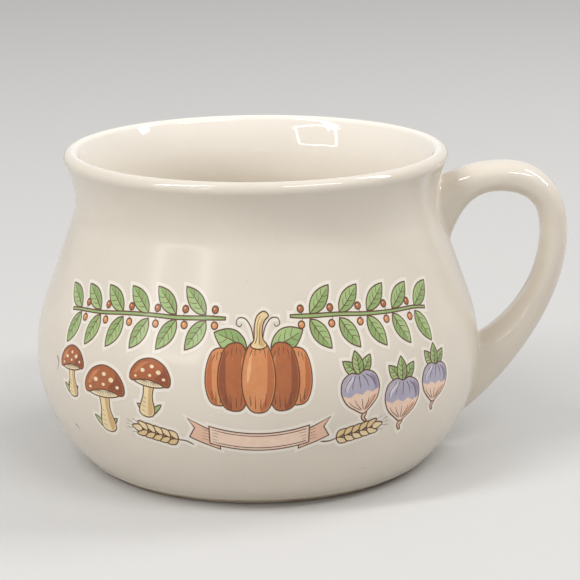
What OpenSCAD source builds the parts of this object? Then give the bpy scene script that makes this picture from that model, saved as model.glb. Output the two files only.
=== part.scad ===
// Handled soup bowl: slip-cast bowl, stuck-on loop handle, glaze coats and a fired colour transfer.
// Origin on the bowl's axis at the table, +Z up, handle along +X, decorated face towards -Y.

/* [Bowl] */
// Overall height from the foot to the crown of the lip
bowl_h = 89.2; // [86:0.1:94]
// Radius of the rim at the outside of the lip
rim_r = 54; // [53:0.1:56]
// Distance that the rim stands out past the waist under it
rim_flare = 2.95; // [2:0.05:4]
// Depth of the waist below the crown of the lip
neck_drop = 13.7; // [12.5:0.1:15]
// Distance that the belly stands out past the waist
belly_out = 12.15; // [9:0.05:15]
// Height of the widest part of the belly as a share of the overall height
belly_share = 0.3554; // [0.32:0.0001:0.38]
// Roundness of the wall between waist and belly, where 1 leaves no straight slope
round_share = 0.6928; // [0.6:0.0001:0.9]
// Share of that roundness in the hollow curve under the waist
hollow_share = 0.2632; // [0.2:0.0001:0.35]
// Radius of the belly's lower curve as a share of the height of its widest part
hip_share = 1.2681; // [1.2:0.0001:1.4]
// Thickness of the wall with its glaze
wall = 4.3; // [3.6:0.1:5]
// Thickness of the base with its glaze
base_t = 4.6; // [3.8:0.1:6]
// Radius of the curve between the inside floor and the wall
floor_curve_r = 12; // [8:0.5:15]

/* [Foot] */
// Radius of the foot's outer edge
foot_edge_r = 1.6; // [1:0.1:2.4]
// Width of the flat ring that stands on the table
foot_ring_w = 3.2; // [2:0.1:5]
// Depth of the recess under the base
recess_h = 2; // [1.2:0.1:3]
// Height of the bare clay band at the foot
bare_foot_h = 1.9; // [1.2:0.1:3]

/* [Handle] */
// Distance that the handle stands out past the belly
handle_reach = 24.9; // [20:0.1:30]
// Depth of the handle's crown below the crown of the lip
crown_drop = 5.2; // [4.4:0.1:8]
// Distance of the handle's crown outside the belly's widest radius
crown_out = 6.8; // [5:0.1:9]
// Height of the handle's outermost point as a share of the overall height
side_share = 0.7096; // [0.65:0.0001:0.74]
// Height at which the handle's under edge enters the belly as a share of the overall height
heel_share = 0.1031; // [0.095:0.0001:0.13]
// Thickness of the handle at its crown
crown_t = 8; // [6.5:0.1:9]
// Thickness of the handle at its outermost point
side_t = 7.1; // [6:0.1:8.5]
// Width of the handle at its crown
handle_w = 13.4; // [11:0.1:15]
// Width of the handle where it meets the bowl
root_w = 15.4; // [14:0.1:16]

/* [Joints] */
// Thickness of the slip layer between handle and bowl
slip_t = 0.6; // [0.4:0.05:1]
// Width of the slip's bead round each root
slip_bead = 0.7; // [0.4:0.1:1.2]
// Length of the upper root along the wall as a share of the overall height
upper_root_share = 0.2018; // [0.185:0.0001:0.213]
// Height of the middle of the upper root as a share of the overall height
upper_place_share = 0.8027; // [0.796:0.0001:0.813]
// Length of the lower root along the belly as a share of the overall height
lower_root_share = 0.2691; // [0.258:0.0001:0.286]
// Height of the middle of the lower root as a share of the overall height
lower_place_share = 0.2466; // [0.235:0.0001:0.258]

/* [Glaze and transfer] */
// Thickness of the glaze
glaze_t = 0.3; // [0.2:0.05:0.5]
// Thickness of one printed film
film_t = 0.06; // [0.04:0.01:0.1]
// Clearance that keeps the print's small flat facets off the round glaze
film_lift = 0.05; // [0.03:0.01:0.08]
// Clearance that keeps the flat facets of one printed film off the next
film_gap = 0.1; // [0.08:0.01:0.12]
// Width of the brown outline round each colour
line_w = 0.45; // [0.3:0.05:0.7]
// Width of the clear cream cover coat past the outline
halo_w = 0.9; // [0.5:0.1:1.3]
// Height of the middle of the picture as a share of the overall height
print_share = 0.4484; // [0.426:0.0001:0.471]
// Height of a garland leaf
leaf_l = 8.6; // [7:0.1:9.5]
// Width of a garland leaf
leaf_w = 3.9; // [3:0.1:4.4]
// Width of the pumpkin
pumpkin_w = 27; // [23:0.5:28]
// Height of the pumpkin
pumpkin_h = 18; // [15:0.5:19]
// Width of a mushroom's cap
cap_w = 14; // [11:0.5:15]
// Width of a turnip
turnip_w = 11.5; // [9:0.5:12.5]
// Length of a wheat ear
ear_l = 13; // [11:0.5:14.5]
// Width of the blank ribbon
ribbon_w = 5.4; // [4:0.1:6]

/* [Hidden] */
$fn = 96;
cut = 4 * wall;
half_turn = 180;
fullness_share = 0.86;
root_sides = 32;

// Heights and radii that follow the overall height and the rim
neck_r = rim_r - rim_flare;
belly_r = neck_r + belly_out;
belly_z = belly_share * bowl_h;
hip_r = hip_share * belly_z;
side_z = side_share * bowl_h;
heel_z = heel_share * bowl_h;
upper_root_h = upper_root_share * bowl_h;
upper_root_z = upper_place_share * bowl_h;
lower_root_h = lower_root_share * bowl_h;
lower_root_z = lower_place_share * bowl_h;
print_z = print_share * bowl_h;

// Centres of the profile's arcs
lip_r = wall / 2;
lip_cr = rim_r - lip_r;
lip_cz = bowl_h - lip_r;
neck_z = bowl_h - neck_drop;
lip_rise = lip_cz - neck_z;
flare_r = (pow(rim_r - neck_r, 2) + pow(lip_rise, 2)) / (2 * (rim_r - neck_r)) - lip_r;
flare_c = [neck_r + flare_r, neck_z];
fullest_r = (pow(belly_out, 2) + pow(neck_z - belly_z, 2)) / (2 * belly_out);
hollow_r = hollow_share * round_share * fullest_r;
shoulder_r = round_share * fullest_r - hollow_r;
hollow_c = [neck_r + hollow_r, neck_z];
shoulder_c = [belly_r - shoulder_r, belly_z];
hip_c = [belly_r - hip_r, belly_z];
lip_c = [lip_cr, lip_cz];

// Angles at which the arcs meet
lip_a = atan2(lip_rise, flare_c.x - lip_c.x);
slope_v = hollow_c - shoulder_c;
slope_a = atan2(slope_v.y, slope_v.x) - acos((shoulder_r + hollow_r) / norm(slope_v));
floor_z = recess_h + base_t;

function dir(a) = [cos(a), sin(a)];
function rest(v) = [for (k = [1 : len(v) - 1]) v[k]];
function back(v) = [for (k = [len(v) - 1 : -1 : 0]) v[k]];
function arc(c, r, a, b, n) = [for (k = [0 : n]) c + r * dir(a + (b - a) * k / n)];
function edge_c(i) =
    [hip_c.x + sqrt(pow(hip_r - i - foot_edge_r, 2) - pow(belly_z - foot_edge_r, 2)), foot_edge_r];
function edge_a(i) = atan2(belly_z - foot_edge_r, edge_c(i).x - hip_c.x);
curve_rise = belly_z - floor_z - floor_curve_r;
curve_c = [hip_c.x + sqrt(pow(hip_r - wall - floor_curve_r, 2) - pow(curve_rise, 2)), belly_z - curve_rise];
curve_a = atan2(curve_rise, curve_c.x - hip_c.x);

// Outline from the belly's widest part up to the lip, moved inwards by i
function upper_line(i) = concat(
    rest(arc(shoulder_c, shoulder_r - i, 0, slope_a, 4)),
    arc(hollow_c, hollow_r + i, half_turn + slope_a, half_turn, 4),
    rest(arc(flare_c, flare_r + i, half_turn, half_turn - lip_a, 6))
);

// Outer outline from the foot to the crown of the lip, moved inwards by i
function outer_line(i) = concat(
    arc(edge_c(i), foot_edge_r, -90, -edge_a(i), 3),
    rest(arc(hip_c, hip_r - i, -edge_a(i), 0, 10)),
    upper_line(i),
    rest(arc(lip_c, lip_r - i, -lip_a, 90, 8))
);

// Inner outline from the middle of the floor to the crown of the lip, moved into the wall by g
function inner_line(g) = concat(
    [[0, floor_z - g]],
    arc(curve_c, floor_curve_r + g, -90, -curve_a, 6),
    rest(arc(hip_c, hip_r - wall + g, -curve_a, 0, 6)),
    upper_line(wall - g),
    rest(arc(lip_c, lip_r - g, half_turn - lip_a, 90, 5))
);

ring_in_r = edge_c(glaze_t).x - foot_ring_w;
recess_line = [[0, recess_h], [ring_in_r - recess_h, recess_h], [ring_in_r, 0]];

// Layer of revolution between two heights above the outer face of the glaze
module skin(low, high) {
    rotate_extrude() polygon(concat(outer_line(-high), back(outer_line(-low))));
}

// Rounded outline of a root, given by its half height and half width
function bulge(v) = sign(v) * pow(abs(v), fullness_share);
module oval(h, w) {
    polygon([for (j = [0 : root_sides - 1]) let (a = 360 * (j + 0.5) / root_sides)
        [w * bulge(cos(a)), h * bulge(sin(a))]]);
}

// Block through the wall on the handle's side with a root's outline
module root_block(z, h) {
    translate([0, 0, z]) rotate([90, 0, 90])
        linear_extrude(belly_r + cut) oval(h / 2 + slip_bead, root_w / 2 + slip_bead + glaze_t);
}

module upper_block() { root_block(upper_root_z, upper_root_h); }
module lower_block() { root_block(lower_root_z, lower_root_h); }

module bowl_body() {
    color("#EFE6D8") rotate_extrude()
        polygon(concat(recess_line, outer_line(glaze_t), rest(back(inner_line(glaze_t)))));
}

module outside_glaze() {
    color("#F3EBDD") difference() {
        skin(-glaze_t, 0);
        translate([0, 0, bare_foot_h - cut]) cylinder(r = belly_r, h = cut);
        upper_block();
        lower_block();
    }
}

module inside_glaze() {
    color("#F6E9D2") rotate_extrude()
        polygon(concat(inner_line(glaze_t), back(inner_line(0))));
}

module base_glaze() {
    color("#F3EBDD") translate([0, 0, recess_h - glaze_t])
        cylinder(r = ring_in_r - 2 * recess_h, h = glaze_t);
}

module slip_pad() {
    intersection() {
        skin(-glaze_t, slip_t - glaze_t);
        children();
    }
}

module upper_slip_joint() { color("#E7DCC9") slip_pad() upper_block(); }
module lower_slip_joint() { color("#E7DCC9") slip_pad() lower_block(); }

// Handle outline: knots of the outer and inner edges, each [place, tangent angle, reach back, reach on]
crown_x = belly_r + crown_out;
side_x = belly_r + handle_reach;
crown_z = bowl_h - crown_drop;
root_top_z = crown_z - 0.6 * crown_t;
root_low_z = upper_root_z - 0.73 * upper_root_h;
crotch_z = lower_root_z + 0.43 * lower_root_h;
loop_h = side_z - heel_z;
outer_knots = [
    [[neck_r - 0.36 * wall, root_top_z], 18, 0, 0.94 * crown_t],
    [[crown_x, crown_z], 0, 1.1 * crown_t, 0.68 * (side_x - crown_x)],
    [[side_x, side_z], -90, 0.57 * (crown_z - side_z), 0.43 * loop_h],
    [[belly_r - 1.6 * wall, heel_z], -148, 0.22 * loop_h, 0]
];
inner_knots = [
    [[neck_r + 0.57 * wall, root_low_z], 72, 0, 1.12 * crown_t],
    [[crown_x - 0.16 * crown_t, crown_z - crown_t], 0, 1.25 * crown_t, 0.7 * (side_x - side_t - crown_x)],
    [[side_x - side_t, side_z + 0.05 * side_t], -90, 0.67 * (crown_z - crown_t - side_z), 0.25 * loop_h],
    [[belly_r - 0.4 * wall, crotch_z], -152, 0.25 * loop_h, 0]
];
rings = 40;
sides = 24;

function bezier(p, q, r, s, t) =
    pow(1 - t, 3) * p + 3 * pow(1 - t, 2) * t * q + 3 * (1 - t) * t * t * r + pow(t, 3) * s;
function on_edge(k, u) = let (n = min(floor(u), len(k) - 2), t = u - n, a = k[n], b = k[n + 1])
    bezier(a[0], a[0] + a[3] * dir(a[1]), b[0] - b[2] * dir(b[1]), b[0], t);
function half_w(u) = let (m = 2 * u / (len(outer_knots) - 1) - 1)
    (handle_w + (root_w - handle_w) * pow(abs(m), 6)) / 2;

// One ring of the handle's oval section, grown by g, at place u along the loop
function ring(u, g) = let (o = on_edge(outer_knots, u), i = on_edge(inner_knots, u),
        mid = (o + i) / 2, half = (o - i) / 2, grow = (norm(half) + g) / norm(half))
    [for (j = [0 : sides - 1]) let (a = 360 * j / sides, p = mid + grow * bulge(cos(a)) * half)
        [p.x, bulge(sin(a)) * (half_w(u) + g), p.y]];

function loop_u(r) = (len(outer_knots) - 1) * r / (rings - 1);
function tube_points(g) = [for (r = [0 : rings - 1]) each ring(loop_u(r), g)];
function tube_sides(base, flip) = [for (r = [0 : rings - 2], j = [0 : sides - 1])
    let (a = base + r * sides + j, b = base + r * sides + (j + 1) % sides,
        q = [[a, a + sides, b], [b, a + sides, b + sides]])
    each flip ? [for (f = q) [f[2], f[1], f[0]]] : q];
last_ring = (rings - 1) * sides;

module sweep(g) {
    cap_low = [for (j = [0 : sides - 1]) j];
    cap_high = [for (j = [0 : sides - 1]) last_ring + sides - 1 - j];
    polyhedron(tube_points(g), concat(tube_sides(0, false), [cap_low, cap_high]));
}

// Tube wall between the section itself and the section grown by g
module sweep_shell(g) {
    n = rings * sides;
    low = [for (j = [0 : sides - 1]) let (k = (j + 1) % sides) each [[j, k, n + j], [k, n + k, n + j]]];
    high = [for (j = [0 : sides - 1]) let (k = (j + 1) % sides, a = last_ring + j, b = last_ring + k)
        each [[a, n + a, b], [b, n + a, n + b]]];
    polyhedron(concat(tube_points(g), tube_points(0)),
        concat(tube_sides(0, false), tube_sides(n, true), low, high));
}

// Bowl with its slip layer, which the handle's two ends are cut to
module handle_seat() {
    seat = outer_line(glaze_t - slip_t);
    rotate_extrude() polygon(concat([[0, 0]], seat, [[0, seat[len(seat) - 1].y]]));
}

module handle() {
    color("#EFE6D8") difference() {
        sweep(0);
        handle_seat();
    }
}

module handle_glaze() {
    color("#F5ECD9") difference() {
        sweep_shell(glaze_t);
        handle_seat();
    }
}

// Radius of the glaze's face at height z, from the foot up to the waist
slope_low = shoulder_c + shoulder_r * dir(slope_a);
slope_high = hollow_c - hollow_r * dir(slope_a);
function face_r(z) =
    z < belly_z ? hip_c.x + sqrt(pow(hip_r, 2) - pow(belly_z - z, 2)) :
    z < slope_low.y ? shoulder_c.x + sqrt(pow(shoulder_r, 2) - pow(z - belly_z, 2)) :
    z < slope_high.y ? slope_low.x - (z - slope_low.y) * tan(slope_a) :
    hollow_c.x - sqrt(pow(hollow_r, 2) - pow(min(z, neck_z) - neck_z, 2));

// Point of the picture on the bowl: turn to the right, height above the picture's middle, lift off the glaze
function on_bowl(az, z, out) = let (r = face_r(print_z + z) + film_lift + out)
    [r * sin(az), -r * cos(az), print_z + z];

// A printed shape is [turn, height, tilt, shift up, width, half height up, half height down, point]
function flat_point(m, t, g, share) = let (
        x = (m[4] / 2 + g) * cos(t) * pow(max(abs(cos(t)), 1e-6), m[7]) * share,
        y = m[3] + ((t < half_turn ? m[5] : m[6]) + (1 + m[7]) * g) * sin(t) * share)
    [x * cos(m[2]) + y * sin(m[2]), y * cos(m[2]) - x * sin(m[2])];
function print_point(m, t, g, share, out) = let (q = flat_point(m, t, g, share), z = m[1] + q.y)
    on_bowl(m[0] + q.x / face_r(print_z + z) * half_turn / PI, z, out);

dots = 12;
ring_shares = [0.55, 1];
face_n = 1 + len(ring_shares) * dots;
function face_points(m, g, out) = concat([print_point(m, 0, g, 0, out)],
    [for (q = ring_shares, k = [0 : dots - 1]) print_point(m, 360 * k / dots, g, q, out)]);
function face_faces(base) = [for (k = [0 : dots - 1]) let (n = (k + 1) % dots) each concat(
    [[base, base + 1 + n, base + 1 + k]],
    [for (q = [0 : len(ring_shares) - 2]) let (a = base + 1 + q * dots, c = a + dots)
        each [[a + k, a + n, c + k], [a + n, c + n, c + k]]])];
function rim_faces(base) = let (c = base + face_n - dots)
    [for (k = [0 : dots - 1]) let (n = (k + 1) % dots)
        each [[c + n, c + k, c + k + face_n], [c + n, c + k + face_n, c + n + face_n]]];
function flip(faces) = [for (f = faces) [f[2], f[1], f[0]]];

// All shapes of one colour, as thin plates in the given layer of the print
module prints(shapes, g, layer) {
    low = (layer - 1) * (film_t + film_gap);
    polyhedron(
        [for (m = shapes) each concat(face_points(m, g, low), face_points(m, g, low + film_t))],
        [for (k = [0 : len(shapes) - 1]) let (base = 2 * k * face_n)
            each concat(flip(face_faces(base)), face_faces(base + face_n), rim_faces(base))]);
}

// Leaf garland: turns of its stations, and its rise as shares of a leaf's length
garland_turns = [-53, -45, -37, -29, -21, -13, 13, 21, 29, 37, 45];
garland_high_share = 1.72;
garland_fall_share = 0.35;
function garland_rise(az) =
    leaf_l * (garland_high_share - garland_fall_share * pow(az / garland_turns[0], 2));
garland_leaves = [for (az = garland_turns, up = [-1, 1])
    [az, garland_rise(az), sign(az) * (90 - up * 50) + az / 3, 0.64 * leaf_l,
        leaf_w, leaf_l / 2, leaf_l / 2, 0.6]];

// Pumpkin ribs: shift and width as shares of the pumpkin's width, height as a share of its height
rib_shares = [
    [0, 0.26, 1], [0.235, 0.14, 0.94], [-0.235, 0.14, 0.94], [0.4, 0.11, 0.76], [-0.4, 0.11, 0.76]
];
function rib(s) = [s[0] * pumpkin_w / belly_r * half_turn / PI, 0, 0, 0,
    s[1] * pumpkin_w, s[2] * pumpkin_h / 2, s[2] * pumpkin_h / 2, 0.15];
pumpkin_back = [0, 0, 0, 0, pumpkin_w, 0.53 * pumpkin_h, 0.53 * pumpkin_h, 0];
pumpkin_stem = [0, 0.75 * pumpkin_h, 10, 0, 0.09 * pumpkin_w, 0.17 * pumpkin_h, 0.14 * pumpkin_h, 0.1];

// Mushrooms: turn, and height and size as shares of a cap's width
mushroom_shares = [[-27, -0.15, 0.85], [-40.5, -0.5, 1], [-53, -0.2, 0.75]];
caps = [for (m = mushroom_shares)
    [m[0], m[1] * cap_w, 0, 0, m[2] * cap_w, 0.46 * m[2] * cap_w, 0.12 * m[2] * cap_w, 0]];
stalks = [for (m = mushroom_shares)
    [m[0], (m[1] - 0.56 * m[2]) * cap_w, 0, 0,
        0.3 * m[2] * cap_w, 0.3 * m[2] * cap_w, 0.26 * m[2] * cap_w, 0]];

// Turnips: turn, and height and size as shares of a turnip's width
turnip_shares = [[25, -0.45, 0.95], [37, -0.8, 1], [48.5, -0.62, 0.9]];
turnips = [for (t = turnip_shares)
    [t[0], t[1] * turnip_w, 0, 0, t[2] * turnip_w, 0.42 * t[2] * turnip_w, 0.56 * t[2] * turnip_w, 0.1]];
turnip_tops = [for (t = turnip_shares, a = [-34, 34])
    [t[0], (t[1] + 0.48 * t[2]) * turnip_w, a, 0.36 * turnip_w, 0.2 * turnip_w,
        0.27 * turnip_w, 0.27 * turnip_w, 0.5]];

// Wheat ears at the picture's foot: turn, height as a share of an ear's length, and lean
ear_shares = [[-25, -1.24, -80], [24, -1.24, 80]];
wheat = [for (e = ear_shares, n = [-1.5 : 1.5])
    [e[0], e[1] * ear_l, e[2], 0.29 * n * ear_l, 0.17 * ear_l, 0.085 * ear_l, 0.085 * ear_l, 0.35]];

// Blank ribbon under the pumpkin, in three lengths
ribbon_turns = [-11.5, 0, 11.5];
ribbon = [for (az = ribbon_turns) [az, -0.95 * pumpkin_h + 0.06 * ribbon_w * abs(az) / 2, -az / 2, 0,
    0.36 * pumpkin_w, ribbon_w / 2, ribbon_w / 2, -0.35]];

// Cover coat: a band over the whole picture, between two edges that follow its shapes
cover_turns = [for (az = [-61 : 2.5 : 56.5]) az];
cover_rows = 14;
ribbon_low = -0.95 * pumpkin_h - ribbon_w / 2;
cover_low = min((mushroom_shares[1][1] - 0.82) * cap_w, ribbon_low) - line_w - halo_w;
function cover_high(az) = garland_rise(az) + 0.88 * leaf_l + line_w + halo_w;

module transfer_cover_coat() {
    n = len(cover_turns);
    rows = cover_rows + 1;
    points = [for (out = [0, film_t], az = cover_turns, k = [0 : cover_rows])
        on_bowl(az, cover_low + (cover_high(az) - cover_low) * k / cover_rows, out)];
    quads = [for (c = [0 : n - 2], k = [0 : cover_rows - 1]) let (a = c * rows + k)
        [a, a + 1, a + rows, a + rows + 1]];
    sheet = [for (q = quads) each [[q[0], q[1], q[2]], [q[1], q[3], q[2]]]];
    edge = concat([for (c = [0 : n - 1]) c * rows], [for (k = [1 : cover_rows]) (n - 1) * rows + k],
        [for (c = [n - 2 : -1 : 0]) c * rows + cover_rows], [for (k = [cover_rows - 1 : -1 : 1]) k]);
    top = n * rows;
    rim = [for (k = [0 : len(edge) - 1]) let (a = edge[k], b = edge[(k + 1) % len(edge)])
        each [[b, a, a + top], [b, a + top, b + top]]];
    lid = [for (f = sheet) [f[0] + top, f[1] + top, f[2] + top]];
    color("#F7F0E2") polyhedron(points, concat(flip(sheet), lid, rim));
}

module transfer_brown() {
    color("#5A3A22") prints(concat(garland_leaves, [pumpkin_back, pumpkin_stem], caps, stalks, turnips,
        turnip_tops, wheat, ribbon), line_w, 2);
}
module transfer_green() { color("#9DB877") prints(concat(garland_leaves, turnip_tops), 0, 3); }
module transfer_orange() { color("#CC7A4D") prints([for (n = [0, 3, 4]) rib(rib_shares[n])], 0, 3); }
module transfer_rust() { color("#A8592F") prints(concat([for (n = [1, 2]) rib(rib_shares[n])], caps), 0, 3); }
module transfer_ochre() { color("#E8D3A5") prints(concat([pumpkin_stem], stalks, wheat), 0, 3); }
module transfer_lilac() { color("#B8B8C8") prints(turnips, 0, 3); }
module transfer_pink() { color("#F0D8C4") prints(ribbon, 0, 3); }

bowl_body();
handle();
upper_slip_joint();
lower_slip_joint();
outside_glaze();
inside_glaze();
base_glaze();
handle_glaze();
transfer_cover_coat();
transfer_brown();
transfer_green();
transfer_orange();
transfer_rust();
transfer_ochre();
transfer_lilac();
transfer_pink();
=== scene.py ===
import math
import bmesh
import bpy
from mathutils import Matrix, Vector


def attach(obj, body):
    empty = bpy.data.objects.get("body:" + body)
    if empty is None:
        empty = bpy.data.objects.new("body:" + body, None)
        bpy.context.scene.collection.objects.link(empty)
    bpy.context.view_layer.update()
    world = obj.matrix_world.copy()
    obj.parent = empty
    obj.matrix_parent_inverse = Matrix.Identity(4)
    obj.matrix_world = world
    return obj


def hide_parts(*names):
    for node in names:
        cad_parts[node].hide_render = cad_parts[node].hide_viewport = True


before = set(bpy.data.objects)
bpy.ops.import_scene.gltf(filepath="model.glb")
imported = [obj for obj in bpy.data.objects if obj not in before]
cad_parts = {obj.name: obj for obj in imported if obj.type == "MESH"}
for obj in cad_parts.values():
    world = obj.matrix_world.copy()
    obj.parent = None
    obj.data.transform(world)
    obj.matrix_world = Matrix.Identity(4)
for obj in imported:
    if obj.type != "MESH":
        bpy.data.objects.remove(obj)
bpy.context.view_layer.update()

# Photographer's table and light
# A plain pale sheet, four strips at the left as a window's frame, three broad ceiling lamps and an even fill.
# The camera stands a little over half a metre away and looks down at the decorated side.

MM = 0.001
CAMERA = {"stand": (0, -556.5, 191.5), "down": 14.542, "right": 0.957, "roll": -0.426, "lens": 124.46}
SENSOR_W = 36
LENS_NEAR = 0.01
TABLE_SIZE = 6.0
TABLE_COLOUR = (0.62, 0.615, 0.605, 1)
PAPER_ROUGHNESS = 0.8
PAPER_SPECULAR = 0.2
TOOTH_SCALE = 900
TOOTH_H = 0.00005
BACKDROP_COLOUR = (0.86, 0.86, 0.86, 1)
FILL_COLOUR = (1, 0.985, 0.97, 1)
FILL_LOW = 0.19
FILL_HIGH = 0.62
FILL_STARTS = -0.1
LAMPS_AIM_Z = 0.06
WINDOW_TURN = -46.5
WINDOW_HEIGHT = 26.5
WINDOW_AWAY = 2
WINDOW_GLOW = 10
BAR_W = 0.06
WINDOW_W = 1.0
WINDOW_H = 0.9
CEILING_AWAY = 1.6
WINDOW_BARS = {
    "window_left": (BAR_W, WINDOW_H, -WINDOW_W / 2, 0),
    "window_right": (BAR_W, WINDOW_H, WINDOW_W / 2, 0),
    "window_top": (WINDOW_W, BAR_W, 0, WINDOW_H / 2),
    "window_foot": (WINDOW_W, BAR_W, 0, -WINDOW_H / 2)}
CEILING_LAMPS = {
    "ceiling_left": {"turn": -57, "height": 50, "width": 0.99, "tall": 0.24, "glow": 13, "tilt": 75},
    "ceiling_right": {"turn": 102, "height": 45, "width": 1.04, "tall": 0.2, "glow": 13, "tilt": 48},
    "ceiling_front": {"turn": 44, "height": 53, "width": 0.8, "tall": 0.2, "glow": 12, "tilt": -20}}


def place_camera(stand, down, right, roll, lens):
    """Camera at stand, in millimetres, tilted down and turned right by degrees, with the photograph's roll."""
    data = bpy.data.cameras.new("photo_camera")
    data.lens = lens
    data.sensor_width = SENSOR_W
    data.clip_start = LENS_NEAR
    camera = bpy.data.objects.new("photo_camera", data)
    bpy.context.scene.collection.objects.link(camera)
    turn = Matrix.Rotation(math.radians(-right), 4, "Z")
    tilt = Matrix.Rotation(math.radians(90 - down), 4, "X")
    spin = Matrix.Rotation(math.radians(roll), 4, "Z")
    camera.matrix_world = Matrix.Translation(Vector(stand) * MM) @ turn @ tilt @ spin
    bpy.context.scene.camera = camera


def hang_lamp(name, turn, height, away, width, tall, glow, aside=0, above=0, tilt=0):
    """Rectangular lamp facing the bowl: turn and height are degrees to the right of the front and above the table.

    Its sizes, its distance away and its place aside and above the line of sight are in metres; glow is its
    brightness. Tilt turns it, in degrees, about the line from the bowl.
    """
    data = bpy.data.lights.new(name, "AREA")
    data.shape = "RECTANGLE"
    data.size = width
    data.size_y = tall
    data.energy = glow * math.pi * width * tall
    lamp = bpy.data.objects.new(name, data)
    bpy.context.scene.collection.objects.link(lamp)
    turn, height = math.radians(turn), math.radians(height)
    out = Vector((math.sin(turn) * math.cos(height), -math.cos(turn) * math.cos(height), math.sin(height)))
    facing = (-out).to_track_quat("-Z", "Y").to_matrix()
    lamp.location = out * away + facing @ Vector((aside, above, 0)) + Vector((0, 0, LAMPS_AIM_Z))
    lamp.rotation_euler = (facing @ Matrix.Rotation(math.radians(tilt), 3, "Z")).to_euler()


def new_material(name, specular):
    """Procedural material, its node tree and its shader."""
    material = bpy.data.materials.new(name)
    material.use_nodes = True
    shader = material.node_tree.nodes["Principled BSDF"]
    shader.inputs["Specular IOR Level"].default_value = specular
    return material, material.node_tree, shader


def add(tree, kind):
    return tree.nodes.new("ShaderNode" + kind)


def feed(tree, value, socket):
    """Give an input what another node puts out, or a plain value."""
    if isinstance(value, bpy.types.NodeSocket):
        tree.links.new(value, socket)
    else:
        socket.default_value = value


def mottle(tree, scale, detail=2, distortion=0):
    """Noise that lies still on the piece."""
    where = add(tree, "TexCoord")
    noise = add(tree, "TexNoise")
    for socket, number in (("Scale", scale), ("Detail", detail), ("Distortion", distortion)):
        noise.inputs[socket].default_value = number
    feed(tree, where.outputs["Object"], noise.inputs["Vector"])
    return noise.outputs["Fac"]


def remap(tree, value, low, high, out_low=0, out_high=1, smooth=False):
    """The value's stretch from low to high moved onto another stretch, and held at its ends."""
    node = add(tree, "MapRange")
    if smooth:
        node.interpolation_type = "SMOOTHSTEP"
    names = ("From Min", "From Max", "To Min", "To Max")
    for socket, number in zip(names, (low, high, out_low, out_high)):
        node.inputs[socket].default_value = number
    feed(tree, value, node.inputs["Value"])
    return node.outputs["Result"]


def work_out(tree, operation, first, second):
    """Sum on two inputs, such as ADD, MULTIPLY or MAXIMUM."""
    node = add(tree, "Math")
    node.operation = operation
    for socket, value in zip(node.inputs, (first, second)):
        feed(tree, value, socket)
    return node.outputs["Value"]


def raise_surface(tree, shader, height, distance):
    """Small relief from a height, times a distance in metres."""
    bump = add(tree, "Bump")
    bump.inputs["Distance"].default_value = distance
    feed(tree, height, bump.inputs["Height"])
    feed(tree, bump.outputs["Normal"], shader.inputs["Normal"])


def table_paper():
    """Matt pale paper with a faint tooth."""
    material, tree, paper = new_material("table_paper", PAPER_SPECULAR)
    paper.inputs["Base Color"].default_value = TABLE_COLOUR
    paper.inputs["Roughness"].default_value = PAPER_ROUGHNESS
    raise_surface(tree, paper, mottle(tree, TOOTH_SCALE), TOOTH_H)
    return material


def lay_table():
    bm = bmesh.new()
    bmesh.ops.create_grid(bm, x_segments=1, y_segments=1, size=TABLE_SIZE / 2)
    mesh = bpy.data.meshes.new("table_sheet")
    bm.to_mesh(mesh)
    bm.free()
    mesh.materials.append(table_paper())
    table = bpy.data.objects.new("table_sheet", mesh)
    bpy.context.scene.collection.objects.link(table)


def fill_light():
    """Soft light from all round; the camera, mirrors and glass see the pale backdrop in its place."""
    world = bpy.data.worlds.new("studio")
    bpy.context.scene.world = world
    world.use_nodes = True
    tree = world.node_tree
    room = tree.nodes["Background"]
    room.inputs["Color"].default_value = FILL_COLOUR
    where = add(tree, "TexCoord")
    split = add(tree, "SeparateXYZ")
    feed(tree, where.outputs["Generated"], split.inputs["Vector"])
    climb = remap(tree, split.outputs["Z"], FILL_STARTS, 1, FILL_LOW, FILL_HIGH, smooth=True)
    feed(tree, climb, room.inputs["Strength"])
    backdrop = add(tree, "Background")
    backdrop.inputs["Color"].default_value = BACKDROP_COLOUR
    path = add(tree, "LightPath")
    seen = work_out(tree, "MAXIMUM", path.outputs["Is Camera Ray"], path.outputs["Is Glossy Ray"])
    seen = work_out(tree, "MAXIMUM", seen, path.outputs["Is Transmission Ray"])
    switch = add(tree, "MixShader")
    feed(tree, seen, switch.inputs["Fac"])
    feed(tree, room.outputs["Background"], switch.inputs[1])
    feed(tree, backdrop.outputs["Background"], switch.inputs[2])
    feed(tree, switch.outputs["Shader"], tree.nodes["World Output"].inputs["Surface"])


place_camera(**CAMERA)
lay_table()
fill_light()
for name, (width, tall, aside, above) in WINDOW_BARS.items():
    hang_lamp(name, WINDOW_TURN, WINDOW_HEIGHT, WINDOW_AWAY, width, tall, WINDOW_GLOW, aside, above)
for name, lamp in CEILING_LAMPS.items():
    hang_lamp(name, away=CEILING_AWAY, **lamp)
bpy.context.scene.view_settings.view_transform = "Standard"

# Clay bowl
# Slip-cast earthenware, wiped bare at the foot ring and coated with glaze everywhere else.
# Its outline is a chain of arcs from the foot's edge over the belly and the waist to the round lip.

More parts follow.
